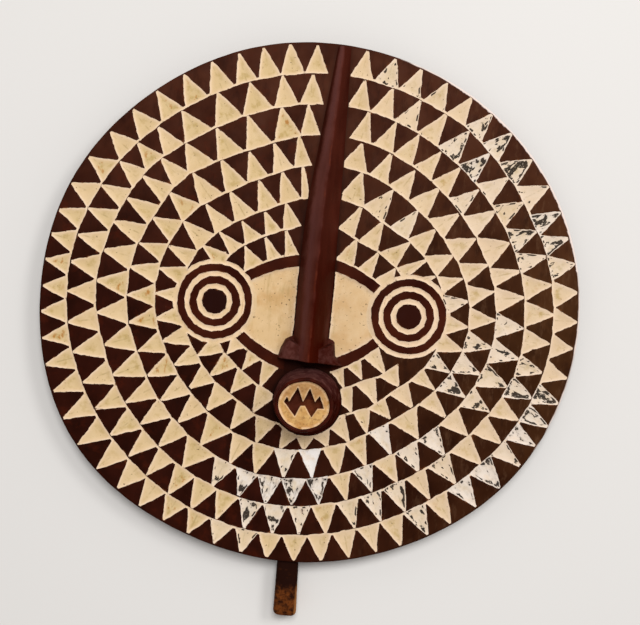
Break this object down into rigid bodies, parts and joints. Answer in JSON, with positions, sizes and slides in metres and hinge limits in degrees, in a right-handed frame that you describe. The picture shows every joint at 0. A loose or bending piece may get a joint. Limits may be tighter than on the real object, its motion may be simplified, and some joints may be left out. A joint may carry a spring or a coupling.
{
  "type": "sun mask",
  "caption": "Round carved wooden sun mask with rings of pointed chips, a long nose, ringed eyes, a toothed tube mouth and a grip below.",
  "frame": {"origin": "under the middle of the lying mask, on the plane of its flat back", "axes": "+Z out of the face, +Y up along the nose, +X to the right of someone who looks at the face"},
  "size_m": [0.5406, 0.5766, 0.076],
  "materials": {
    "painted_wood": "satin"
  },
  "bodies": {
    "root": {"sun_mask": "painted_wood"}
  },
  "joints": []
}
